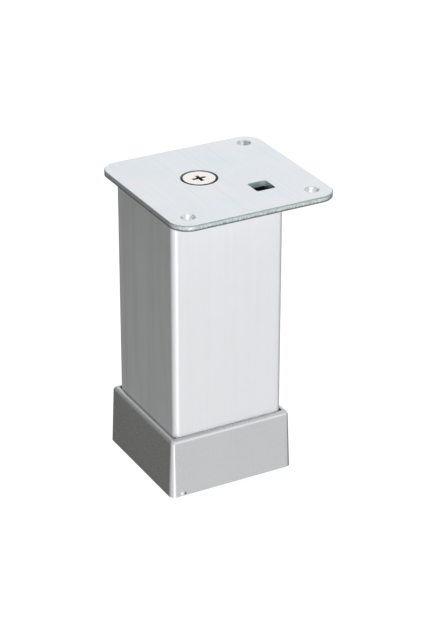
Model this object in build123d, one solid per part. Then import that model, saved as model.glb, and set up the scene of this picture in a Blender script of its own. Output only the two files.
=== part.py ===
from build123d import *
from math import atan, degrees, radians, sqrt, tan
import os

# A square adjustable furniture leg, in millimetres. Z is up, the origin is where the
# tube's axis meets the floor, and the leg is shown at its lowest height.

# Tube, a square aluminium extrusion
tube_side = 40.0
tube_wall = 1.5
tube_corner_radius = 2.0
tube_inner_radius = 0.6
tube_length = 94.3

# Mounting plate, pressed from sheet and set off towards the front and the right
plate_width = 57.6
plate_depth = 56.5
plate_thickness = 2.0
plate_left_overhang = 4.2
plate_back_overhang = 4.6
plate_corner_radius = 6.5
plate_edge_break = 0.25
hole_diameter = 4.5
hole_left_inset = 6.9
hole_right_inset = 6.5
hole_front_inset = 6.7
hole_back_inset = 5.8
window_side = 6.8
window_corner_radius = 0.8
window_right_gap = 0.7
window_front_gap = 0.2

# Plate screw, countersunk with a cross recess
countersink_diameter = 12.3
countersink_angle = 90.0
screw_diameter = 6.0
screw_length = 20.0
screw_head_diameter = 10.8
screw_rim_height = 0.25
screw_head_clearance = 0.03
recess_span = 4.9
recess_width = 1.25
recess_depth = 2.6
recess_root_share = 0.5

# Nuts
thread_clearance = 0.05
nut_pocket_clearance = 0.1
top_nut_flats = 10.0
top_nut_thickness = 5.0
spindle_nut_flats = 13.0
spindle_nut_thickness = 6.5
nut_chamfer_rise = 0.6
nut_face_share = 0.95

# Moulded inserts at both ends of the tube
insert_fit = 0.05
insert_wall = 1.6
insert_web = 3.0
insert_rib = 1.6
boss_wall = 2.2
bore_clearance = 0.3
top_insert_height = 16.0
top_nut_cover = 4.0
web_opening_side = 7.0
wall_slot_depth = 5.0
bottom_insert_height = 21.0
flange_thickness = 1.5
spindle_nut_inset = 0.9

# Foot, a drafted square cup that slides on the tube
slide_clearance = 0.25
foot_lip_wall = 1.65
foot_lip_radius = 1.5
foot_flare = 0.8
foot_height = 20.7
foot_corner_radius = 2.0
foot_inner_radius = 0.4
foot_floor = 3.0
foot_stop_gap = 0.3
foot_travel = 10.0
foot_boss_diameter = 18.0
foot_boss_rise = 3.0
foot_rib = 1.5
foot_rib_rise = 2.0
foot_rib_gap = 0.5
sole_recess_depth = 1.0
sole_border = 4.0
sole_ring_wall = 2.5
sole_pocket_diameter = 15.0

# Height adjuster
spindle_diameter = 8.0
spindle_bearing_clearance = 0.1
spindle_end_lift = 0.8
spindle_reserve = 2.0
spindle_chamfer = 0.8
collar_diameter = 14.0
collar_thickness = 2.0
collar_lift = 0.1
collar_headroom = 0.6
washer_diameter = 16.0
washer_thickness = 1.0
washer_clearance = 0.2
socket_flats = 4.0
socket_depth = 4.5
ring_thickness = 0.9
ring_diameter = 12.0
ring_mouth = 5.0
ring_lift = 0.1
groove_diameter = 6.2
groove_play = 0.05

# Radius gained for each millimetre of height by the countersink and the screw's cone
cone_slope = tan(radians(countersink_angle / 2))

# Levels, from the floor up
boss_top = foot_floor + foot_boss_rise
washer_top = boss_top + washer_thickness
collar_bottom = washer_top + collar_lift
collar_top = collar_bottom + collar_thickness
tube_bottom = foot_floor + foot_stop_gap + flange_thickness
tube_top = tube_bottom + tube_length
plate_top = tube_top + plate_thickness
nut_boss_bottom = collar_top + collar_headroom
spindle_nut_bottom = nut_boss_bottom + spindle_nut_inset
spindle_nut_top = spindle_nut_bottom + spindle_nut_thickness
spindle_top = spindle_nut_top + foot_travel + spindle_reserve
ring_top = foot_floor - ring_lift
top_insert_bottom = tube_top - top_insert_height
top_nut_top = tube_top - insert_web - top_nut_cover
top_nut_bottom = top_nut_top - top_nut_thickness

# Half widths
tube_half = tube_side / 2
tube_inner_half = tube_half - tube_wall
insert_half = tube_inner_half - insert_fit
insert_inner_half = insert_half - insert_wall
cavity_half = tube_half + slide_clearance
foot_lip_half = cavity_half + foot_lip_wall
foot_sole_half = foot_lip_half + foot_flare

# Plate outline and the places of its openings
plate_left = -tube_half - plate_left_overhang
plate_right = plate_left + plate_width
plate_back = tube_half + plate_back_overhang
plate_front = plate_back - plate_depth
hole_left_x = plate_left + hole_left_inset
hole_right_x = plate_right - hole_right_inset
hole_front_y = plate_front + hole_front_inset
hole_back_y = plate_back - hole_back_inset
window_x = tube_inner_half - window_right_gap - window_side / 2
window_y = -(tube_inner_half - window_front_gap - window_side / 2)


def square(half, radius):
    return RectangleRounded(2 * half, 2 * half, radius)


def disc(radius, bottom, top):
    return extrude(Pos(0, 0, bottom) * Circle(radius), top - bottom)


def hexagon(flats, bottom, top):
    outline = RegularPolygon(flats / 2, 6, major_radius=False)
    return extrude(Pos(0, 0, bottom) * outline, top - bottom)


def turned(*profile):
    # A solid of revolution about Z from its half section as (radius, height) points
    face = make_face(Polyline(*[(r, 0, z) for r, z in profile], close=True))
    return revolve(face, Axis.Z)


def square_tube(half, radius, inner_half, inner_radius, bottom, top):
    ring = square(half, radius) - square(inner_half, inner_radius)
    return extrude(Pos(0, 0, bottom) * ring, top - bottom)


def mounting_plate():
    centre = Pos((plate_left + plate_right) / 2, (plate_front + plate_back) / 2, tube_top)
    outline = RectangleRounded(plate_width, plate_depth, plate_corner_radius)
    plate = extrude(centre * outline, plate_thickness)
    plate = chamfer(plate.faces().filter_by(Axis.Z).edges(), plate_edge_break)
    for x, y in ((hole_left_x, hole_front_y), (hole_right_x, hole_front_y), (hole_right_x, hole_back_y)):
        plate -= Pos(x, y, 0) * disc(hole_diameter / 2, tube_top, plate_top)
    window = Pos(window_x, window_y, tube_top) * square(window_side / 2, window_corner_radius)
    plate -= extrude(window, plate_thickness)
    return plate - countersink(tube_top, plate_top)


def countersink_radius(z):
    # Radius of the countersink's cone at height z, whose mouth is at the plate's top
    return countersink_diameter / 2 - (plate_top - z) * cone_slope


def countersink(bottom, top):
    return turned((0, bottom), (countersink_radius(bottom), bottom), (countersink_radius(top), top), (0, top))


def plate_screw():
    # The head's cone lies on the countersink's, a little inside it
    head = screw_head_diameter / 2
    shank = screw_diameter / 2
    cone_top = plate_top - (countersink_diameter / 2 - screw_head_clearance - head) / cone_slope
    cone_bottom = cone_top - (head - shank) / cone_slope
    top = cone_top + screw_rim_height
    bottom = top - screw_length
    point = screw_diameter / 8
    screw = turned(
        (0, bottom),
        (shank - point, bottom),
        (shank, bottom + point),
        (shank, cone_bottom),
        (head, cone_top),
        (head, top),
        (0, top),
    )
    return screw - cross_recess(top)


def cross_recess(top):
    # Two crossed slots, whose ends run together towards the root
    mouth = recess_span / 2
    root = mouth * recess_root_share
    bottom = top - recess_depth
    side = Plane.XZ * make_face(Polyline((-mouth, top), (mouth, top), (root, bottom), (-root, bottom), close=True))
    slot = extrude(side, recess_width / 2, both=True)
    return slot + Rot(0, 0, 90) * slot


def leg_tube():
    return square_tube(tube_half, tube_corner_radius, tube_inner_half, tube_inner_radius, tube_bottom, tube_top)


def hex_nut(flats, thickness, bore_radius, bottom):
    corner = flats / sqrt(3)
    edge = nut_face_share * flats / 2
    top = bottom + thickness
    envelope = turned(
        (bore_radius, bottom),
        (edge, bottom),
        (corner, bottom + nut_chamfer_rise),
        (corner, top),
        (bore_radius, top),
    )
    return envelope & hexagon(flats, bottom, top)


def top_nut():
    bore = screw_diameter / 2 + thread_clearance
    return hex_nut(top_nut_flats, top_nut_thickness, bore, top_nut_bottom)


def spindle_nut():
    bore = spindle_diameter / 2 + thread_clearance
    return hex_nut(spindle_nut_flats, spindle_nut_thickness, bore, spindle_nut_bottom)


def boss_radius(flats):
    # The boss keeps its wall round the corners of the nut's pocket
    return (flats + 2 * nut_pocket_clearance) / sqrt(3) + boss_wall


def ribbed_core(flats, rib_bottom, top):
    # Nut boss in the middle, tied to the insert's walls by four ribs
    core = disc(boss_radius(flats), rib_bottom, top)
    rib = Rectangle(2 * insert_half - insert_wall, insert_rib)
    cross = rib + Rot(0, 0, 90) * rib
    return core + extrude(Pos(0, 0, rib_bottom) * cross, top - rib_bottom)


def top_insert():
    wall = square_tube(
        insert_half, tube_inner_radius, insert_inner_half, tube_inner_radius, top_insert_bottom, tube_top
    )
    web_bottom = tube_top - insert_web
    web = extrude(Pos(0, 0, web_bottom) * square(insert_half, tube_inner_radius), insert_web)
    insert = wall + web
    # The web's corner openings run out through the side walls as slots, so that the walls can spring
    reach = web_opening_side + insert_wall
    opening = Pos(0, 0, tube_top - wall_slot_depth) * Rectangle(reach, web_opening_side)
    opening = extrude(opening, wall_slot_depth)
    slot_x = insert_half - reach / 2
    slot_y = insert_inner_half - web_opening_side / 2
    for x in (-slot_x, slot_x):
        for y in (-slot_y, slot_y):
            insert -= Pos(x, y, 0) * opening
    insert += ribbed_core(top_nut_flats, top_insert_bottom, tube_top)
    insert -= hexagon(top_nut_flats + 2 * nut_pocket_clearance, top_insert_bottom, top_nut_top)
    insert -= disc(screw_diameter / 2 + bore_clearance, top_nut_top, tube_top)
    mouth = countersink_radius(tube_top) + bore_clearance
    return insert - turned((0, tube_top - mouth), (mouth, tube_top), (0, tube_top))


def bottom_insert():
    top = tube_bottom + bottom_insert_height
    flange_bottom = tube_bottom - flange_thickness
    wall = square_tube(insert_half, tube_inner_radius, insert_inner_half, tube_inner_radius, flange_bottom, top)
    flange = square_tube(
        tube_half, tube_corner_radius, insert_inner_half, tube_inner_radius, flange_bottom, tube_bottom
    )
    web = extrude(Pos(0, 0, top - insert_web) * square(insert_half, tube_inner_radius), insert_web)
    insert = wall + flange + web + ribbed_core(spindle_nut_flats, nut_boss_bottom, top)
    insert -= hexagon(spindle_nut_flats + 2 * nut_pocket_clearance, nut_boss_bottom, spindle_nut_top)
    return insert - disc(spindle_diameter / 2 + bore_clearance, spindle_nut_top, top)


def foot_shell():
    draft = degrees(atan(foot_flare / foot_height))
    body = extrude(square(foot_sole_half, foot_corner_radius), foot_height, taper=draft)
    rim = body.faces().sort_by(Axis.Z)[-1].edges()
    body = fillet(rim, foot_lip_radius)
    cavity = Pos(0, 0, foot_floor) * square(cavity_half, foot_inner_radius)
    return body - extrude(cavity, foot_height)


def foot_sleeve():
    foot = foot_shell()
    boss = foot_boss_diameter / 2
    reach = insert_inner_half - foot_rib_gap
    spoke = Rectangle(2 * reach, foot_rib)
    spokes = spoke + Rot(0, 0, 90) * spoke + Rot(0, 0, 45) * spoke + Rot(0, 0, -45) * spoke
    foot += extrude(Pos(0, 0, foot_floor) * spokes, foot_rib_rise)
    foot += disc(boss, foot_floor, boss_top)
    pocket = sole_pocket_diameter / 2
    hollow = square(foot_sole_half - sole_border, foot_corner_radius) - Circle(pocket + sole_ring_wall)
    foot -= extrude(hollow, sole_recess_depth)
    foot -= disc(pocket, 0, foot_floor)
    return foot - disc(spindle_diameter / 2 + spindle_bearing_clearance, foot_floor, boss_top)


def adjusting_spindle():
    radius = spindle_diameter / 2
    groove = groove_diameter / 2
    groove_top = ring_top + groove_play
    groove_bottom = ring_top - ring_thickness - groove_play
    tip = radius - spindle_chamfer
    spindle = turned(
        (0, spindle_end_lift),
        (radius, spindle_end_lift),
        (radius, groove_bottom),
        (groove, groove_bottom),
        (groove, groove_top),
        (radius, groove_top),
        (radius, collar_bottom),
        (collar_diameter / 2, collar_bottom),
        (collar_diameter / 2, collar_top),
        (radius, collar_top),
        (radius, spindle_top - spindle_chamfer),
        (tip, spindle_top),
        (0, spindle_top),
    )
    return spindle - hexagon(socket_flats, spindle_end_lift, spindle_end_lift + socket_depth)


def spindle_washer():
    bore = spindle_diameter / 2 + washer_clearance
    return disc(washer_diameter / 2, boss_top, washer_top) - disc(bore, boss_top, washer_top)


def retaining_ring():
    bottom = ring_top - ring_thickness
    bore = groove_diameter / 2 + groove_play
    ring = disc(ring_diameter / 2, bottom, ring_top) - disc(bore, bottom, ring_top)
    mouth = Pos(ring_diameter / 2, 0, bottom) * Rectangle(ring_diameter, ring_mouth)
    return ring - extrude(mouth, ring_thickness)


pieces = {
    "mounting_plate": mounting_plate,
    "plate_screw": plate_screw,
    "leg_tube": leg_tube,
    "top_insert": top_insert,
    "top_nut": top_nut,
    "bottom_insert": bottom_insert,
    "spindle_nut": spindle_nut,
    "adjusting_spindle": adjusting_spindle,
    "spindle_washer": spindle_washer,
    "retaining_ring": retaining_ring,
    "foot_sleeve": foot_sleeve,
}

os.makedirs("parts", exist_ok=True)
for name, make in pieces.items():
    export_step(make(), f"parts/{name}.step")
    print("written", name)
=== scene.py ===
import math

import bmesh
import bpy
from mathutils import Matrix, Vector


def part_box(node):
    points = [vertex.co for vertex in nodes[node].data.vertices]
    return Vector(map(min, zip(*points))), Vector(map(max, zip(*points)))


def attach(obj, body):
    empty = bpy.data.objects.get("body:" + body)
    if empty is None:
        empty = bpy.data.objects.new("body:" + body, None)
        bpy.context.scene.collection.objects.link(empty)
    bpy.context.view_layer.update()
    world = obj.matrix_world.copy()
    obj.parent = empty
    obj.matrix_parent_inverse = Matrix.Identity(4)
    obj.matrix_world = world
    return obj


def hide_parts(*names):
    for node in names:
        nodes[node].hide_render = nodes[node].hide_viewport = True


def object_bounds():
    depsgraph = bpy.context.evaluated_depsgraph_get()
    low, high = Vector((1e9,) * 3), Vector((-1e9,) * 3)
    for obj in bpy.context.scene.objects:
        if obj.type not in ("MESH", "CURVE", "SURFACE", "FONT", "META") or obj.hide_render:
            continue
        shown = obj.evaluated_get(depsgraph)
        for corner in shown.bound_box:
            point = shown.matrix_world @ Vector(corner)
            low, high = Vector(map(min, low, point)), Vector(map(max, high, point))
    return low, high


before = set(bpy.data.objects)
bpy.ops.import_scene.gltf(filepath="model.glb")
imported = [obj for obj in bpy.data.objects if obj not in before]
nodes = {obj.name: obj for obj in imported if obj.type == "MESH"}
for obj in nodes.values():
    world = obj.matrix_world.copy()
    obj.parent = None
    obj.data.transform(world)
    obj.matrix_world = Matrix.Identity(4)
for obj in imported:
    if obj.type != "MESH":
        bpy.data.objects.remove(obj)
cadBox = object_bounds()
mm = 0.001
print("frame loaded")


# Node helpers

def addNode(tree, kind, values=None, **settings):
    node = tree.nodes.new(kind)
    for name, value in settings.items():
        setattr(node, name, value)
    for name, value in (values or {}).items():
        socket = node.inputs[name]
        if isinstance(value, bpy.types.NodeSocket):
            tree.links.new(value, socket)
        else:
            socket.default_value = value
    return node


def calc(tree, operation, first, second=0.0, clamp=False):
    return addNode(tree, "ShaderNodeMath", {0: first, 1: second}, operation=operation, use_clamp=clamp).outputs[0]


def remap(tree, value, low, high, toLow=0.0, toHigh=1.0, smooth=False):
    values = {"Value": value, "From Min": low, "From Max": high, "To Min": toLow, "To Max": toHigh}
    kind = "SMOOTHSTEP" if smooth else "LINEAR"
    return addNode(tree, "ShaderNodeMapRange", values, interpolation_type=kind).outputs["Result"]


def blendColour(tree, share, first, second, mode="MIX"):
    node = addNode(tree, "ShaderNodeMix", data_type="RGBA", blend_type=mode)
    for index, value in ((0, share), (6, first), (7, second)):
        if isinstance(value, bpy.types.NodeSocket):
            tree.links.new(value, node.inputs[index])
        elif index:
            node.inputs[index].default_value = (*value, 1.0)
        else:
            node.inputs[index].default_value = value
    return node.outputs[2]


def stretched(tree, place, scale):
    return addNode(tree, "ShaderNodeMapping", {"Vector": place, "Scale": scale}).outputs["Vector"]


def noise(tree, place, scale, detail=2.0, roughness=0.5):
    values = {"Vector": place, "Scale": scale, "Detail": detail, "Roughness": roughness}
    return addNode(tree, "ShaderNodeTexNoise", values).outputs["Fac"]


def newGroup(name, inputs, outputs):
    group = bpy.data.node_groups.new(name, "ShaderNodeTree")
    for label, kind, value in inputs:
        socket = group.interface.new_socket(label, in_out="INPUT", socket_type=kind)
        if value is not None:
            socket.default_value = value
    for label, kind in outputs:
        group.interface.new_socket(label, in_out="OUTPUT", socket_type=kind)
    return group, group.nodes.new("NodeGroupInput").outputs, group.nodes.new("NodeGroupOutput").inputs


def useGroup(tree, group, values):
    return addNode(tree, "ShaderNodeGroup", values, node_tree=group).outputs


# Effects that several finishes share

def makeStreaks():
    # Long fine lines left by rolling, drawing or brushing, as a mask about one half
    group, given, out = newGroup(
        "streaks",
        [("Place", "NodeSocketVector", None), ("Fine", "NodeSocketVector", (9000, 120, 9000)),
         ("Broad", "NodeSocketVector", (1400, 30, 1400)), ("Broad Share", "NodeSocketFloat", 0.4)],
        [("Mask", "NodeSocketFloat")],
    )
    fineMap = addNode(group, "ShaderNodeVectorMath", {0: given["Place"], 1: given["Fine"]}, operation="MULTIPLY")
    broadMap = addNode(group, "ShaderNodeVectorMath", {0: given["Place"], 1: given["Broad"]}, operation="MULTIPLY")
    fine = noise(group, fineMap.outputs[0], 1.0, detail=3.0, roughness=0.6)
    broad = noise(group, broadMap.outputs[0], 1.0, detail=2.0, roughness=0.5)
    mixed = addNode(group, "ShaderNodeMix", {0: given["Broad Share"], 2: fine, 3: broad}, data_type="FLOAT")
    group.links.new(mixed.outputs[0], out["Mask"])
    return group


def makeGrain():
    # Moulded or blasted grain with a few brighter flecks
    group, given, out = newGroup(
        "grain",
        [("Place", "NodeSocketVector", None), ("Size", "NodeSocketFloat", 0.0003)],
        [("Height", "NodeSocketFloat"), ("Flecks", "NodeSocketFloat")],
    )
    fleckCore, fleckRim = 0.12, 0.3  # as shares of a cell
    density = calc(group, "DIVIDE", 1.0, given["Size"])
    fine = noise(group, given["Place"], density, detail=2.0, roughness=0.6)
    cells = addNode(group, "ShaderNodeTexVoronoi", {"Vector": given["Place"], "Scale": density}, feature="F1")
    flecks = remap(group, cells.outputs["Distance"], fleckCore, fleckRim, 1.0, 0.0)
    group.links.new(fine, out["Height"])
    group.links.new(flecks, out["Flecks"])
    return group


def makeClouds():
    # Slow drift of tone over a surface, for handling marks and uneven plating
    group, given, out = newGroup(
        "clouds",
        [("Place", "NodeSocketVector", None), ("Size", "NodeSocketFloat", 0.02)],
        [("Slow", "NodeSocketFloat"), ("Quick", "NodeSocketFloat")],
    )
    finer = 5.0  # how much smaller the quick clouds are
    low, high = 0.3, 0.7
    slow = noise(group, given["Place"], calc(group, "DIVIDE", 1.0, given["Size"]), detail=2.0, roughness=0.5)
    quick = noise(group, given["Place"], calc(group, "DIVIDE", finer, given["Size"]), detail=4.0, roughness=0.6)
    group.links.new(remap(group, slow, low, high), out["Slow"])
    group.links.new(remap(group, quick, low, high), out["Quick"])
    return group


def makePunched():
    # A round hole punched down through sheet: its wall, and the ring where the sheet rolls into it
    group, given, out = newGroup(
        "punched",
        [("Place", "NodeSocketVector", None), ("Centre", "NodeSocketVector", None),
         ("Radius", "NodeSocketFloat", 0.002)],
        [("Wall", "NodeSocketFloat"), ("Ring", "NodeSocketFloat")],
    )
    wallEnd, ringStart, ringEnd = 1.02, 1.04, 1.14  # as shares of the radius
    ends = {0: given["Place"], 1: given["Centre"]}
    offset = addNode(group, "ShaderNodeVectorMath", ends, operation="SUBTRACT").outputs[0]
    flat = addNode(group, "ShaderNodeVectorMath", {0: offset, 1: (1.0, 1.0, 0.0)}, operation="MULTIPLY").outputs[0]
    away = addNode(group, "ShaderNodeVectorMath", {0: flat}, operation="LENGTH").outputs["Value"]
    share = calc(group, "DIVIDE", away, given["Radius"])
    group.links.new(calc(group, "LESS_THAN", share, wallEnd), out["Wall"])
    group.links.new(remap(group, share, ringStart, ringEnd, 1.0, 0.0), out["Ring"])
    return group


streaks = makeStreaks()
grain = makeGrain()
clouds = makeClouds()
punched = makePunched()
print("shared effects made")


# Finishes

def newMaterial(name):
    material = bpy.data.materials.new(name)
    material.use_nodes = True
    tree = material.node_tree
    return material, tree, tree.nodes["Principled BSDF"], addNode(tree, "ShaderNodeTexCoord").outputs


def feed(tree, shader, name, value):
    tree.links.new(value, shader.inputs[name])


def roughen(tree, shader, pattern, span, roughness):
    # Roughness goes from its low to its high value as the pattern crosses the span
    feed(tree, shader, "Roughness", remap(tree, pattern, *span, *roughness))


def bump(tree, shader, height, relief):
    depth, strength = relief
    values = {"Height": height, "Distance": depth, "Strength": strength}
    feed(tree, shader, "Normal", addNode(tree, "ShaderNodeBump", values).outputs["Normal"])


def spot(tree, place, centre, radius, softness=0.3):
    # Mask of a small round mark about a point, one inside and nothing outside
    away = addNode(tree, "ShaderNodeVectorMath", {0: place, 1: centre}, operation="DISTANCE").outputs["Value"]
    return remap(tree, away, radius * (1.0 - softness), radius * (1.0 + softness), 1.0, 0.0)


def fromAxis(tree, place):
    # Distance from the tube's axis, and height
    split = addNode(tree, "ShaderNodeSeparateXYZ", {0: place}).outputs
    flat = addNode(tree, "ShaderNodeCombineXYZ", {"X": split["X"], "Y": split["Y"]}).outputs[0]
    return addNode(tree, "ShaderNodeVectorMath", {0: flat}, operation="LENGTH").outputs["Value"], split["Z"]


# Masks below are (low, high) of a pattern, or (low, high, share at low, share at high)
plateLow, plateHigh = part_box("mounting_plate")
plateFinish = {
    "pale": (0.79, 0.81, 0.84),
    "blue": (0.735, 0.79, 0.83),
    "rosy": (0.83, 0.795, 0.82),
    "scratch": (0.62, 0.66, 0.69),
    "sheared": (0.36, 0.42, 0.42),
    "torn": (0.72, 0.78, 0.78),
    "edgeShade": (0.13, 0.155, 0.16),
    "cloudSize": 16 * mm,
    "fineLines": (7000, 45, 300),
    "broadLines": (1500, 14, 300),
    "lineTone": (0.35, 0.65, 0.96, 1.02),
    "roseScale": 45.0,
    "roseMask": (0.52, 0.72, 0.0, 0.75),
    "scratchScale": (1300, 14, 1),
    "scratchMask": (0.70, 0.76, 0.0, 0.5),
    "markScale": (2400, 2400, 1300),
    "markMask": (0.34, 0.66),
    "edgeTurn": (0.8, 0.95, 1.0, 0.0),  # by how upright the surface faces
    "ragged": (0.3, 0.7, -0.08, 0.08),
    "edgeFoot": (0.28, 0.42, 0.9, 0.0),
    "edgeCrown": (0.78, 0.90, 0.0, 0.5),
    "windowWallLight": (0.66, 0.86, 0.92),
    "windowPlace": (14.4 * mm, -14.9 * mm, 100.1 * mm),
    "windowReach": 5.2 * mm,
    "windowBlur": 0.05,
    "glint": (1.0, 1.0, 1.0),
    "glintPlace": (16.8 * mm, -11.5 * mm, 100.1 * mm),
    "glintRadius": 1.2 * mm,
    "holes": ((-17.3 * mm, -25.2 * mm, 0.0), (26.9 * mm, -25.2 * mm, 0.0), (26.9 * mm, 18.8 * mm, 0.0)),
    "holeRadius": 2.25 * mm,
    "wall": (0.97, 1.0, 1.0),
    "wallSpots": (0.35, 0.42, 0.44),
    "wallSpotMask": (0.50, 0.62, 0.0, 0.7),
    "ring": (0.34, 0.46, 0.49),
    "ringShare": 0.9,
    "sunkShade": (0.12, 0.11, 0.10),
    "sunkRadius": 6.15 * mm,
    "metallic": 0.55,
    "roughness": (0.26, 0.42),
    "roughSpan": (0.3, 1.0),
    "cloudShare": 0.4,
    "relief": (0.02 * mm, 0.5),
}


def plateFace(tree, place, lines, drift):
    look = plateFinish
    tint = blendColour(tree, drift["Slow"], look["blue"], look["pale"])
    rose = noise(tree, place, look["roseScale"], detail=1.0, roughness=0.4)
    tint = blendColour(tree, remap(tree, rose, *look["roseMask"]), tint, look["rosy"])
    shade = remap(tree, lines, *look["lineTone"])
    grey = addNode(tree, "ShaderNodeCombineColor", {0: shade, 1: shade, 2: shade}).outputs[0]
    face = blendColour(tree, 1.0, tint, grey, "MULTIPLY")
    sparse = noise(tree, stretched(tree, place, look["scratchScale"]), 1.0, detail=1.0, roughness=0.4)
    return blendColour(tree, remap(tree, sparse, *look["scratchMask"]), face, look["scratch"])


def plateEdge(tree, place, height, marks):
    # The cut edge is rolled over at the top and mottled by the punch, with painted shade in dark bands along its
    # rolled top and its foot
    look = plateFinish
    level = remap(tree, height, plateLow.z, plateHigh.z)
    cut = blendColour(tree, remap(tree, marks, *look["markMask"]), look["sheared"], look["torn"])
    ragged = calc(tree, "ADD", level, remap(tree, marks, *look["ragged"]))
    foot = remap(tree, ragged, *look["edgeFoot"])
    crown = remap(tree, ragged, *look["edgeCrown"])
    # Painted shade: dark bands along the rolled top and the foot of the cut edge
    cut = blendColour(tree, calc(tree, "MAXIMUM", foot, crown), cut, look["edgeShade"])
    # Painted light: the walls inside the window are lightened to a pale teal
    inWindow = spot(tree, place, look["windowPlace"], look["windowReach"], look["windowBlur"])
    cut = blendColour(tree, inWindow, cut, look["windowWallLight"])
    # Painted highlight: a white glint on the window's wall at its back right corner
    return blendColour(tree, spot(tree, place, look["glintPlace"], look["glintRadius"]), cut, look["glint"])


def zincPlate():
    look = plateFinish
    material, tree, shader, coords = newMaterial("brightZincPlate")
    place = coords["Object"]
    drift = useGroup(tree, clouds, {"Place": place, "Size": look["cloudSize"]})
    brushed = {"Place": place, "Fine": look["fineLines"], "Broad": look["broadLines"]}
    lines = useGroup(tree, streaks, brushed)["Mask"]
    away, height = fromAxis(tree, place)
    marks = noise(tree, stretched(tree, place, look["markScale"]), 1.0, detail=3.0, roughness=0.7)
    upright = addNode(tree, "ShaderNodeSeparateXYZ", {0: coords["Normal"]}).outputs["Z"]
    side = remap(tree, calc(tree, "ABSOLUTE", upright), *look["edgeTurn"])
    face = plateFace(tree, place, lines, drift)
    colour = blendColour(tree, side, face, plateEdge(tree, place, height, marks))
    # Painted highlight: the holes' walls are near white, with darker spots
    wall = blendColour(tree, remap(tree, marks, *look["wallSpotMask"]), look["wall"], look["wallSpots"])
    for hole in look["holes"]:
        masks = useGroup(tree, punched, {"Place": place, "Centre": hole, "Radius": look["holeRadius"]})
        # Painted shade: a dark teal ring round each hole where the sheet rolls into it
        colour = blendColour(tree, calc(tree, "MULTIPLY", masks["Ring"], look["ringShare"]), colour, look["ring"])
        colour = blendColour(tree, masks["Wall"], colour, wall)
    # Painted shade: the countersink round the screw is dark
    sunkShade = calc(tree, "LESS_THAN", away, look["sunkRadius"])
    feed(tree, shader, "Base Color", blendColour(tree, sunkShade, colour, look["sunkShade"]))
    uneven = calc(tree, "ADD", calc(tree, "MULTIPLY", drift["Quick"], look["cloudShare"]), lines)
    roughen(tree, shader, uneven, look["roughSpan"], look["roughness"])
    shader.inputs["Metallic"].default_value = look["metallic"]
    bump(tree, shader, calc(tree, "ADD", lines, calc(tree, "MULTIPLY", marks, side)), look["relief"])
    return material


screwLow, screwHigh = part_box("plate_screw")
plateScrew = {
    "pitch": 1.0 * mm,
    "depth": 0.58 * mm,
    "shank": 3.0 * mm,
    "head": 5.4 * mm,
    "raised": 0.42 * mm,  # the head's rim is this much taller than the solid's, near flush with the plate
    "rim": 0.25 * mm,
    "rimBreak": 0.08 * mm,
    "point": 0.75 * mm,
    "recessMouth": 2.45 * mm,
    "recessRoot": 1.2 * mm,
    "recessWidth": 0.625 * mm,
    "recessDepth": 2.6 * mm,
    "recessTaper": 0.72,
}
screwFinish = {
    "bright": (0.92, 0.895, 0.87),
    "worn": (0.80, 0.775, 0.74),
    "pressed": (0.09, 0.08, 0.07),
    "rim": (0.13, 0.12, 0.11),
    "root": (0.34, 0.325, 0.31),
    "cloudSize": 4 * mm,
    "turnedRings": 6000.0,
    "wornMask": (0.25, 0.6, 0.0, 0.4),
    "recessReach": 2.6 * mm,
    "recessShade": (0.4 * mm, 0.05 * mm),  # full dark and no dark, down from the face
    "gapShadeShift": (-0.06 * mm, -0.14 * mm, 0.0),
    "gapShadeStart": 5.20 * mm,
    "gapShadeBlur": 0.1 * mm,
    "rootShadeMask": (2.4 * mm, 2.95 * mm, 0.8, 0.0),
    "threadTop": 2.7 * mm,  # down from the solid's top
    "metallic": 0.5,
    "roughness": (0.22, 0.36),
    "roughSpan": (0.3, 0.7),
    "relief": (0.02 * mm, 0.15),
}


def nickelScrew():
    look = screwFinish
    material, tree, shader, coords = newMaterial("nickelScrew")
    place = coords["Object"]
    away, height = fromAxis(tree, place)
    ringPlace = addNode(tree, "ShaderNodeCombineXYZ", {"X": away}).outputs[0]
    rings = noise(tree, ringPlace, look["turnedRings"], detail=2.0, roughness=0.6)
    drift = useGroup(tree, clouds, {"Place": place, "Size": look["cloudSize"]})
    worn = remap(tree, calc(tree, "MULTIPLY", rings, drift["Quick"]), *look["wornMask"])
    tone = blendColour(tree, worn, look["bright"], look["worn"])
    # Painted shade darkens the recess, and the edge of the head
    face = screwHigh.z + plateScrew["raised"]
    darkest, lightest = look["recessShade"]
    deep = remap(tree, height, face - darkest, face - lightest, 1.0, 0.0)
    pressed = calc(tree, "MULTIPLY", deep, calc(tree, "LESS_THAN", away, look["recessReach"]))
    tone = blendColour(tree, pressed, tone, look["pressed"])
    # Painted shade lies in the gap round the head, mostly along its front
    shifted = addNode(tree, "ShaderNodeVectorMath", {0: place, 1: look["gapShadeShift"]}, operation="ADD").outputs[0]
    reach = fromAxis(tree, shifted)[0]
    edge = remap(tree, reach, look["gapShadeStart"], look["gapShadeStart"] + look["gapShadeBlur"])
    tone = blendColour(tree, edge, tone, look["rim"])
    # Painted shade: the thread's roots below the head are darker
    below = calc(tree, "LESS_THAN", height, screwHigh.z - look["threadTop"])
    root = calc(tree, "MULTIPLY", remap(tree, away, *look["rootShadeMask"]), below)
    feed(tree, shader, "Base Color", blendColour(tree, root, tone, look["root"]))
    roughen(tree, shader, rings, look["roughSpan"], look["roughness"])
    shader.inputs["Metallic"].default_value = look["metallic"]
    bump(tree, shader, rings, look["relief"])
    return material


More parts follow.
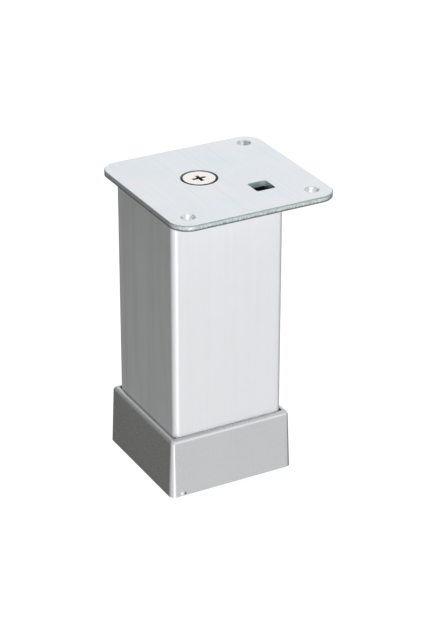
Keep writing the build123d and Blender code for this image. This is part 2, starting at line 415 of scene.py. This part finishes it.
tubeFinish = {
    "body": (0.79, 0.80, 0.82),
    "streak": (0.755, 0.765, 0.78),
    "handled": (0.58, 0.585, 0.57),
    "fineLines": (6000, 6000, 25),
    "broadLines": (700, 700, 8),
    "cloudSize": 30 * mm,
    "cloudShare": 0.15,
    "grainSize": 0.25 * mm,
    "streakMask": (0.35, 0.8),
    "smearScale": (330, 330, 16),
    "smearMask": (0.42, 0.68, 0.0, 0.34),
    "sideTurn": (0.8, 0.98),  # by how far the surface faces left or right
    "metallic": 0.42,
    "roughness": (0.38, 0.46),
    "roughSpan": (0.5, 1.0),
    "roughGrain": 0.5,
    "reliefGrain": 0.3,
    "relief": (0.02 * mm, 0.25),
}


def anodisedTube():
    look = tubeFinish
    material, tree, shader, coords = newMaterial("anodisedTube")
    place = coords["Object"]
    brushed = {"Place": place, "Fine": look["fineLines"], "Broad": look["broadLines"]}
    lines = useGroup(tree, streaks, brushed)["Mask"]
    drift = useGroup(tree, clouds, {"Place": place, "Size": look["cloudSize"]})
    grit = useGroup(tree, grain, {"Place": place, "Size": look["grainSize"]})
    drawn = calc(tree, "ADD", lines, calc(tree, "MULTIPLY", drift["Quick"], look["cloudShare"]))
    tone = blendColour(tree, remap(tree, drawn, *look["streakMask"]), look["body"], look["streak"])
    # The two sides are more handled than the front and the back
    across = calc(tree, "ABSOLUTE", addNode(tree, "ShaderNodeSeparateXYZ", {0: coords["Normal"]}).outputs["X"])
    smears = noise(tree, stretched(tree, place, look["smearScale"]), 1.0, detail=3.0, roughness=0.6)
    sides = remap(tree, across, *look["sideTurn"])
    handled = calc(tree, "MULTIPLY", remap(tree, smears, *look["smearMask"]), sides)
    feed(tree, shader, "Base Color", blendColour(tree, handled, tone, look["handled"]))
    uneven = calc(tree, "ADD", lines, calc(tree, "MULTIPLY", grit["Height"], look["roughGrain"]))
    roughen(tree, shader, uneven, look["roughSpan"], look["roughness"])
    shader.inputs["Metallic"].default_value = look["metallic"]
    height = calc(tree, "ADD", lines, calc(tree, "MULTIPLY", grit["Height"], look["reliefGrain"]))
    bump(tree, shader, height, look["relief"])
    return material


footFinish = {
    "body": (0.55, 0.555, 0.565),
    "cloud": (0.52, 0.53, 0.53),
    "fleck": (0.62, 0.63, 0.64),
    "chip": (0.10, 0.10, 0.10),
    "scuff": (0.90, 0.91, 0.90),
    "cloudSize": 20 * mm,
    "cloudShare": 0.6,
    "grainSize": 0.4 * mm,
    "fleckShare": 0.07,
    "chipPlace": (-17.5 * mm, -22.7 * mm, 0.75 * mm),
    "chipRadius": 0.4 * mm,
    "scuffPlace": (-18.7 * mm, -22.7 * mm, 0.9 * mm),
    "scuffRadius": 0.55 * mm,
    "scuffBlur": 0.6,
    "metallic": 0.85,
    "roughness": (0.20, 0.28),
    "roughSpan": (0.3, 0.7),
    "relief": (0.02 * mm, 0.2),
}


def mouldedFoot():
    look = footFinish
    material, tree, shader, coords = newMaterial("silverMoulding")
    place = coords["Object"]
    drift = useGroup(tree, clouds, {"Place": place, "Size": look["cloudSize"]})
    grit = useGroup(tree, grain, {"Place": place, "Size": look["grainSize"]})
    tone = blendColour(tree, calc(tree, "MULTIPLY", drift["Slow"], look["cloudShare"]), look["body"], look["cloud"])
    tone = blendColour(tree, calc(tree, "MULTIPLY", grit["Flecks"], look["fleckShare"]), tone, look["fleck"])
    # A small chip at the front face's lower edge, scuffed bright beside it
    scuff = spot(tree, place, look["scuffPlace"], look["scuffRadius"], look["scuffBlur"])
    tone = blendColour(tree, scuff, tone, look["scuff"])
    tone = blendColour(tree, spot(tree, place, look["chipPlace"], look["chipRadius"]), tone, look["chip"])
    feed(tree, shader, "Base Color", tone)
    roughen(tree, shader, grit["Height"], look["roughSpan"], look["roughness"])
    shader.inputs["Metallic"].default_value = look["metallic"]
    bump(tree, shader, grit["Height"], look["relief"])
    return material


insertFinish = {
    "body": (0.045, 0.045, 0.048),
    "bloom": (0.10, 0.10, 0.10),
    "bloomShare": 0.5,
    "cloudSize": 12 * mm,
    "grainSize": 0.4 * mm,
    "roughness": (0.45, 0.65),
    "roughSpan": (0.3, 0.7),
    "relief": (0.03 * mm, 0.4),
}


def mouldedInsert():
    look = insertFinish
    material, tree, shader, coords = newMaterial("blackNylon")
    place = coords["Object"]
    drift = useGroup(tree, clouds, {"Place": place, "Size": look["cloudSize"]})
    grit = useGroup(tree, grain, {"Place": place, "Size": look["grainSize"]})
    bloom = calc(tree, "MULTIPLY", drift["Quick"], look["bloomShare"])
    feed(tree, shader, "Base Color", blendColour(tree, bloom, look["body"], look["bloom"]))
    roughen(tree, shader, grit["Height"], look["roughSpan"], look["roughness"])
    bump(tree, shader, grit["Height"], look["relief"])
    return material


fastenerFinish = {
    "bright": (0.66, 0.69, 0.70),
    "dull": (0.45, 0.48, 0.48),
    "metallic": 0.9,
    "roughness": (0.25, 0.42),
}
ringFinish = {
    "bright": (0.30, 0.285, 0.27),
    "dull": (0.14, 0.13, 0.125),
    "metallic": 0.9,
    "roughness": (0.3, 0.5),
}
plating = {  # what both of them have in common
    "cloudSize": 5 * mm,
    "fineLines": (400, 400, 6000),
    "broadLines": (200, 200, 1500),
    "roughSpan": (0.0, 1.0),
    "relief": (0.02 * mm, 0.4),
}


def platedSteel(name, look):
    material, tree, shader, coords = newMaterial(name)
    place = coords["Object"]
    drift = useGroup(tree, clouds, {"Place": place, "Size": plating["cloudSize"]})
    turned = {"Place": place, "Fine": plating["fineLines"], "Broad": plating["broadLines"]}
    lines = useGroup(tree, streaks, turned)["Mask"]
    dulled = calc(tree, "MULTIPLY", drift["Quick"], lines)
    feed(tree, shader, "Base Color", blendColour(tree, dulled, look["bright"], look["dull"]))
    roughen(tree, shader, drift["Quick"], plating["roughSpan"], look["roughness"])
    shader.inputs["Metallic"].default_value = look["metallic"]
    bump(tree, shader, lines, plating["relief"])
    return material


zincFastener = platedSteel("zincFastener", fastenerFinish)
nylon = mouldedInsert()
finishes = {
    "mounting_plate": zincPlate(),
    "plate_screw": nickelScrew(),
    "leg_tube": anodisedTube(),
    "foot_sleeve": mouldedFoot(),
    "top_insert": nylon,
    "bottom_insert": nylon,
    "top_nut": zincFastener,
    "spindle_nut": zincFastener,
    "adjusting_spindle": zincFastener,
    "spindle_washer": zincFastener,
    "retaining_ring": platedSteel("springSteel", ringFinish),
}
for name, finish in finishes.items():
    for slot in nodes[name].material_slots:
        slot.material = finish
print("finishes assigned")


# Threaded pieces, turned as blanks, cut and then threaded by Geometry Nodes

turning = {
    "columns": 48,
    "rowsPerPitch": 12,
    "flank": (0.1, 0.9),  # where the ridge's side starts and ends, over half a pitch
    "skin": 0.02 * mm,
    "crease": 0.7,  # radians between faces, past which an edge stays sharp
    "overrun": 0.2 * mm,  # how far a cutter stands out of the blank
}


def makeThreadTree():
    tree = bpy.data.node_groups.new("rolledThread", "GeometryNodeTree")
    tree.interface.new_socket("Blank", in_out="INPUT", socket_type="NodeSocketGeometry")
    for label in ("Pitch", "Depth", "Crest", "Low", "High"):
        tree.interface.new_socket(label, in_out="INPUT", socket_type="NodeSocketFloat")
    tree.interface.new_socket("Finish", in_out="INPUT", socket_type="NodeSocketMaterial")
    tree.interface.new_socket("Threaded", in_out="OUTPUT", socket_type="NodeSocketGeometry")
    given = tree.nodes.new("NodeGroupInput").outputs
    place = addNode(tree, "GeometryNodeInputPosition").outputs[0]
    split = addNode(tree, "ShaderNodeSeparateXYZ", {0: place}).outputs
    flat = addNode(tree, "ShaderNodeCombineXYZ", {"X": split["X"], "Y": split["Y"]}).outputs[0]
    away = addNode(tree, "ShaderNodeVectorMath", {0: flat}, operation="LENGTH").outputs["Value"]
    outward = addNode(tree, "ShaderNodeVectorMath", {0: flat}, operation="NORMALIZE").outputs[0]
    # Phase along a right-handed helix, folded into a ridge with rounded crest and root
    turn = calc(tree, "DIVIDE", calc(tree, "ARCTAN2", split["Y"], split["X"]), math.tau)
    climb = calc(tree, "DIVIDE", split["Z"], given["Pitch"])
    phase = calc(tree, "FRACT", calc(tree, "SUBTRACT", climb, turn))
    fold = calc(tree, "ABSOLUTE", calc(tree, "SUBTRACT", calc(tree, "MULTIPLY", phase, 2.0), 1.0))
    groove = remap(tree, fold, *turning["flank"], smooth=True)
    # The thread runs out within one pitch of both ends, and only the shank's skin takes it
    fromLow = calc(tree, "SUBTRACT", split["Z"], given["Low"])
    toHigh = calc(tree, "SUBTRACT", given["High"], split["Z"])
    fadeIn = calc(tree, "DIVIDE", fromLow, given["Pitch"], clamp=True)
    fadeOut = calc(tree, "DIVIDE", toHigh, given["Pitch"], clamp=True)
    offCrest = calc(tree, "ABSOLUTE", calc(tree, "SUBTRACT", away, given["Crest"]))
    cut = calc(tree, "MULTIPLY", groove, calc(tree, "MULTIPLY", fadeIn, fadeOut))
    cut = calc(tree, "MULTIPLY", cut, calc(tree, "LESS_THAN", offCrest, turning["skin"]))
    inward = calc(tree, "MULTIPLY", calc(tree, "MULTIPLY", cut, given["Depth"]), -1.0)
    shift = addNode(tree, "ShaderNodeVectorMath", {0: outward, 3: inward}, operation="SCALE").outputs[0]
    geometry = addNode(tree, "GeometryNodeSetPosition", {"Geometry": given["Blank"], "Offset": shift}).outputs[0]
    angle = addNode(tree, "GeometryNodeInputMeshEdgeAngle").outputs["Unsigned Angle"]
    compared = {"A": angle, "B": turning["crease"]}
    crease = addNode(tree, "FunctionNodeCompare", compared, data_type="FLOAT", operation="GREATER_THAN").outputs[0]
    allSmooth = {"Geometry": geometry, "Shade Smooth": True}
    geometry = addNode(tree, "GeometryNodeSetShadeSmooth", allSmooth, domain="FACE").outputs[0]
    someSharp = {"Geometry": geometry, "Selection": crease, "Shade Smooth": False}
    geometry = addNode(tree, "GeometryNodeSetShadeSmooth", someSharp, domain="EDGE").outputs[0]
    geometry = addNode(tree, "GeometryNodeRealizeInstances", {"Geometry": geometry}).outputs[0]
    dressed = {"Geometry": geometry, "Material": given["Finish"]}
    done = addNode(tree, "GeometryNodeSetMaterial", dressed).outputs[0]
    out = tree.nodes.new("NodeGroupOutput")
    tree.links.new(done, out.inputs["Threaded"])
    return tree


threadTree = makeThreadTree()


def newObject(name, build):
    bmesh.ops.recalc_face_normals(build, faces=build.faces)
    mesh = bpy.data.meshes.new(name)
    build.to_mesh(mesh)
    build.free()
    thing = bpy.data.objects.new(name, mesh)
    bpy.context.scene.collection.objects.link(thing)
    return thing


def turnedBlank(name, profile):
    # Solid of revolution from (radius, height) points that start and end on the axis
    build = bmesh.new()
    columns = turning["columns"]
    rings = []
    for radius, height in profile:
        count = columns if radius else 1
        angles = [math.tau * column / columns for column in range(count)]
        points = [(radius * math.cos(angle), radius * math.sin(angle), height) for angle in angles]
        rings.append([build.verts.new(point) for point in points])
    for low, high in zip(rings, rings[1:]):
        for column in range(columns):
            after = (column + 1) % columns
            corners = [low[column % len(low)], low[after % len(low)]]
            corners += [high[after % len(high)], high[column % len(high)]]
            build.faces.new(list(dict.fromkeys(corners)))  # three corners where a ring is a point
    return newObject(name, build)


def prism(name, bottom, top):
    # Closed cutter between two outlines of equally many points
    build = bmesh.new()
    lower = [build.verts.new(point) for point in bottom]
    upper = [build.verts.new(point) for point in top]
    build.faces.new(lower)
    build.faces.new(upper)
    for index in range(len(lower)):
        after = (index + 1) % len(lower)
        build.faces.new((lower[index], lower[after], upper[after], upper[index]))
    return newObject(name, build)


def threadedPiece(name, node, body, profile, cutters, thread):
    blank = turnedBlank(node + "Blank", profile)
    for cutter in cutters:
        sink = blank.modifiers.new("sink", "BOOLEAN")
        sink.operation = "DIFFERENCE"
        sink.solver = "EXACT"
        sink.object = cutter
    roll = blank.modifiers.new("roll", "NODES")
    roll.node_group = threadTree
    inputs = [item for item in threadTree.interface.items_tree if item.in_out == "INPUT"]
    sockets = {item.name: item.identifier for item in inputs}
    for label, value in thread.items():
        roll[sockets[label]] = value
    roll[sockets["Finish"]] = finishes[node]
    graph = bpy.context.evaluated_depsgraph_get()
    mesh = bpy.data.meshes.new_from_object(blank.evaluated_get(graph), depsgraph=graph)
    for spare in (blank, *cutters):
        bpy.data.objects.remove(spare)
    piece = bpy.data.objects.new(name, mesh)
    bpy.context.scene.collection.objects.link(piece)
    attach(piece, body)
    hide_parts(node)
    print(node, "threaded,", len(mesh.polygons), "faces")


def shankRows(radius, low, high, pitch):
    # Rings close enough together to carry the thread
    count = round((high - low) / pitch * turning["rowsPerPitch"])
    return [(radius, low + (high - low) * row / count) for row in range(count + 1)]


def crossCutters(top):
    # Two tapered blades that cross on the axis
    sizes = plateScrew
    mouth, root, width = sizes["recessMouth"], sizes["recessRoot"], sizes["recessWidth"]
    over = turning["overrun"]
    flare = mouth + (mouth - root) * over / sizes["recessDepth"]
    narrow = width * sizes["recessTaper"]
    cutters = []
    for name, turned in (("slotAcross", False), ("slotAlong", True)):
        low = [(-root, -narrow), (root, -narrow), (root, narrow), (-root, narrow)]
        high = [(-flare, -width), (flare, -width), (flare, width), (-flare, width)]
        if turned:
            low = [(-y, x) for x, y in low]
            high = [(-y, x) for x, y in high]
        bottomCorners = [(x, y, top - sizes["recessDepth"]) for x, y in low]
        cutters.append(prism(name, bottomCorners, [(x, y, top + over) for x, y in high]))
    return cutters


def makePlateScrew():
    sizes = plateScrew
    bottom = screwLow.z
    shank, head, pitch = sizes["shank"], sizes["head"], sizes["pitch"]
    coneTop = screwHigh.z - sizes["rim"]
    top = screwHigh.z + sizes["raised"]
    coneBottom = coneTop - (head - shank)
    rimBreak = sizes["rimBreak"]
    profile = [(0.0, bottom), (shank - sizes["point"], bottom)]
    profile += shankRows(shank, bottom + sizes["point"], coneBottom, pitch)
    profile += [(head, coneTop), (head, top - rimBreak), (head - rimBreak, top), (0.0, top)]
    thread = {"Pitch": pitch, "Depth": sizes["depth"], "Crest": shank, "Low": bottom, "High": coneBottom}
    threadedPiece("threadedScrew", "plate_screw", "leg", profile, crossCutters(top), thread)


spindleLow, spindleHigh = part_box("adjusting_spindle")
heightSpindle = {
    "pitch": 1.25 * mm,
    "depth": 0.72 * mm,
    "shank": 4.0 * mm,
    "collar": 7.0 * mm,
    "collarBottom": 7.1 * mm,
    "collarTop": 9.1 * mm,
    "collarBreak": 0.2 * mm,
    "threadStart": 9.9 * mm,
    "groove": 3.1 * mm,
    "grooveBottom": 1.95 * mm,
    "grooveTop": 2.95 * mm,
    "chamfer": 0.8 * mm,
    "socketFlats": 4.0 * mm,
    "socketDepth": 4.5 * mm,
}


def makeSpindle():
    sizes = heightSpindle
    bottom, top = spindleLow.z, spindleHigh.z
    shank, groove, collar = sizes["shank"], sizes["groove"], sizes["collar"]
    low, high, ease = sizes["collarBottom"], sizes["collarTop"], sizes["collarBreak"]
    pitch, start = sizes["pitch"], sizes["threadStart"]
    profile = [(0.0, bottom), (shank - ease, bottom), (shank, bottom + ease)]
    profile += [(shank, sizes["grooveBottom"]), (groove, sizes["grooveBottom"])]
    profile += [(groove, sizes["grooveTop"]), (shank, sizes["grooveTop"])]
    profile += [(shank, low), (collar, low), (collar, high - ease), (collar - ease, high), (shank, high)]
    profile += shankRows(shank, start, top - sizes["chamfer"], pitch)
    profile += [(shank - sizes["chamfer"], top), (0.0, top)]
    reach = sizes["socketFlats"] / math.sqrt(3)
    angles = [math.tau * corner / 6 for corner in range(6)]
    corners = [(reach * math.cos(angle), reach * math.sin(angle)) for angle in angles]
    mouth = [(x, y, bottom - turning["overrun"]) for x, y in corners]
    socket = prism("socket", mouth, [(x, y, bottom + sizes["socketDepth"]) for x, y in corners])
    thread = {"Pitch": pitch, "Depth": sizes["depth"], "Crest": shank, "Low": start, "High": top}
    threadedPiece("threadedSpindle", "adjusting_spindle", "spindle", profile, [socket], thread)


makePlateScrew()
makeSpindle()
print("threads rolled")


# Floor, world and lamps

stageLight = {
    "floorSize": 30.0,
    "floorDrop": 0.2 * mm,
    "floorColour": 0.20,
    "floorGlow": 0.90,
    "ambient": 0.04,
    "tableTones": (  # how bright gloss sees the table, by degrees from the front round to the left
        (-180, 0.25), (-151, 0.12), (-120, 0.15), (-82, 0.35), (-62, 0.85), (-46, 1.03), (-29, 1.03), (-14, 1.02),
        (-6, 1.25), (3, 2.25), (14, 2.45), (25, 2.10), (37, 1.35), (52, 1.15), (75, 1.10), (100, 0.85), (120, 0.55),
        (138, 0.29), (155, 0.155),
    ),
    "skyTones": (  # the same for the room above the table
        (-180, 0.44), (-166, 0.80), (-151, 1.03), (-120, 1.08), (-60, 1.10), (-42, 1.30), (-31, 1.60), (-14, 1.60),
        (8, 1.20), (45, 1.10), (75, 1.05), (110, 0.60), (150, 0.32), (180, 0.44),
    ),
    "leftTint": (1.0, 1.0, 0.93),  # gloss sees a warmer table to the left
    "leftSpan": (105.0, 140.0),
    "overheadTone": 1.05,
    "overheadSpan": (0.45, 0.75),
    "horizonBlur": 0.12,
    "lampAim": (0.0, 0.0, 0.05),
    "frontKey": {"place": (-0.225, -1.056, 0.20), "size": 0.6, "power": 11.5},
    "overhead": {"place": (0.05, 0.30, 1.20), "size": 0.9, "power": 11.5},
    "backFill": {"place": (0.00, 1.10, 0.42), "size": 0.8, "power": 3.0},
}


def makeFloor():
    size = stageLight["floorSize"] / 2
    mesh = bpy.data.meshes.new("floor")
    level = cadBox[0][2] - stageLight["floorDrop"]
    corners = [(-size, -size, level), (size, -size, level), (size, size, level), (-size, size, level)]
    mesh.from_pydata(corners, [], [(0, 1, 2, 3)])
    floor = bpy.data.objects.new("floor", mesh)
    bpy.context.scene.collection.objects.link(floor)
    material, tree, shader = newMaterial("paleFloor")[:3]
    tree.nodes.remove(shader)
    rays = addNode(tree, "ShaderNodeLightPath").outputs
    seen = calc(tree, "MAXIMUM", rays["Is Camera Ray"], rays["Is Transmission Ray"])
    tone = stageLight["floorColour"]
    bounce = addNode(tree, "ShaderNodeBsdfDiffuse", {"Color": (tone, tone, tone, 1.0)})
    strength = calc(tree, "MULTIPLY", seen, stageLight["floorGlow"])
    glow = addNode(tree, "ShaderNodeEmission", {"Strength": strength})
    both = addNode(tree, "ShaderNodeAddShader", {0: bounce.outputs[0], 1: glow.outputs[0]})
    # Seen from below, the floor is open and shows the sole
    facing = addNode(tree, "ShaderNodeNewGeometry").outputs["Backfacing"]
    clear = addNode(tree, "ShaderNodeBsdfTransparent")
    surface = addNode(tree, "ShaderNodeMixShader", {0: facing, 1: both.outputs[0], 2: clear.outputs[0]})
    tree.links.new(surface.outputs[0], tree.nodes["Material Output"].inputs["Surface"])
    mesh.materials.append(material)
    floor.visible_glossy = False  # gloss sees the table that the world holds below the horizon


def roundTones(tree, angle, tones):
    # Tone by the angle round the object, from a list of (degrees, tone)
    ramp = addNode(tree, "ShaderNodeValToRGB", {0: remap(tree, angle, -180.0, 180.0)})
    stops = ramp.color_ramp.elements
    brightest = max(tone for degrees, tone in tones)  # the ramp holds nothing over one
    while len(stops) < len(tones):
        stops.new(0.5)
    for stop, (degrees, tone) in zip(stops, tones):
        stop.position = degrees / 360 + 0.5
        stop.color = (tone / brightest, tone / brightest, tone / brightest, 1.0)
    return calc(tree, "MULTIPLY", ramp.outputs["Color"], brightest)


def makeWorld():
    world = bpy.data.worlds.new("softRoom")
    bpy.context.scene.world = world
    world.use_nodes = True
    tree = world.node_tree
    direction = addNode(tree, "ShaderNodeTexCoord").outputs["Generated"]
    split = addNode(tree, "ShaderNodeSeparateXYZ", {0: direction}).outputs
    front = calc(tree, "MULTIPLY", split["Y"], -1.0)
    left = calc(tree, "MULTIPLY", split["X"], -1.0)
    angle = calc(tree, "DEGREES", calc(tree, "ARCTAN2", left, front))
    table = roundTones(tree, angle, stageLight["tableTones"])
    sky = roundTones(tree, angle, stageLight["skyTones"])
    top = remap(tree, split["Z"], *stageLight["overheadSpan"], smooth=True)
    upper = {0: top, 2: sky, 3: stageLight["overheadTone"]}
    sky = addNode(tree, "ShaderNodeMix", upper, data_type="FLOAT").outputs[0]
    blur = stageLight["horizonBlur"]
    above = remap(tree, split["Z"], -blur, blur, smooth=True)
    room = addNode(tree, "ShaderNodeMix", {0: above, 2: table, 3: sky}, data_type="FLOAT").outputs[0]
    rays = addNode(tree, "ShaderNodeLightPath").outputs
    seen = calc(tree, "MAXIMUM", rays["Is Camera Ray"], rays["Is Transmission Ray"])
    glossy = {0: rays["Is Glossy Ray"], 2: stageLight["ambient"], 3: room}
    lit = addNode(tree, "ShaderNodeMix", glossy, data_type="FLOAT").outputs[0]
    shown = addNode(tree, "ShaderNodeMix", {0: seen, 2: lit, 3: 1.0}, data_type="FLOAT").outputs[0]
    background = tree.nodes["Background"]
    feed(tree, background, "Strength", shown)
    onTable = calc(tree, "SUBTRACT", 1.0, above)
    leftward = calc(tree, "MULTIPLY", remap(tree, angle, *stageLight["leftSpan"]), onTable)
    warm = calc(tree, "MULTIPLY", leftward, rays["Is Glossy Ray"])
    tint = blendColour(tree, warm, (1.0, 1.0, 1.0), stageLight["leftTint"])
    feed(tree, background, "Color", tint)


def makeLamp(name):
    lamp = stageLight[name]
    away = Vector(stageLight["lampAim"]) - Vector(lamp["place"])
    data = bpy.data.lights.new(name, "AREA")
    data.shape = "SQUARE"
    data.size = lamp["size"]
    data.energy = lamp["power"]
    holder = bpy.data.objects.new(name, data)
    holder.location = lamp["place"]
    holder.rotation_euler = away.to_track_quat("-Z", "Y").to_euler()
    holder.visible_glossy = False  # gloss sees the room alone
    bpy.context.scene.collection.objects.link(holder)


makeFloor()
makeWorld()
for name in ("frontKey", "overhead", "backFill"):
    makeLamp(name)
bpy.context.scene.view_settings.view_transform = "Standard"
print("stage lit")


# Camera, fitted to the photograph's edges

cameraFit = {
    "azimuth": -28.4354,
    "elevation": 26.8597,
    "distance": 0.72545,
    "aim": (0.003531, -0.001074, 0.051455),
    "lens": 125.46,
    "sensor": 36.0,
    "clipStart": 0.01,
}


def makeCamera():
    turn = math.radians(cameraFit["azimuth"])
    rise = math.radians(cameraFit["elevation"])
    back = Vector((math.sin(turn) * math.cos(rise), -math.cos(turn) * math.cos(rise), math.sin(rise)))
    data = bpy.data.cameras.new("camera")
    data.lens = cameraFit["lens"]
    data.sensor_width = cameraFit["sensor"]
    data.clip_start = cameraFit["clipStart"]
    camera = bpy.data.objects.new("camera", data)
    camera.location = Vector(cameraFit["aim"]) + back * cameraFit["distance"]
    camera.rotation_euler = (-back).to_track_quat("-Z", "Y").to_euler()
    bpy.context.scene.collection.objects.link(camera)
    bpy.context.scene.camera = camera


makeCamera()
print("camera placed")
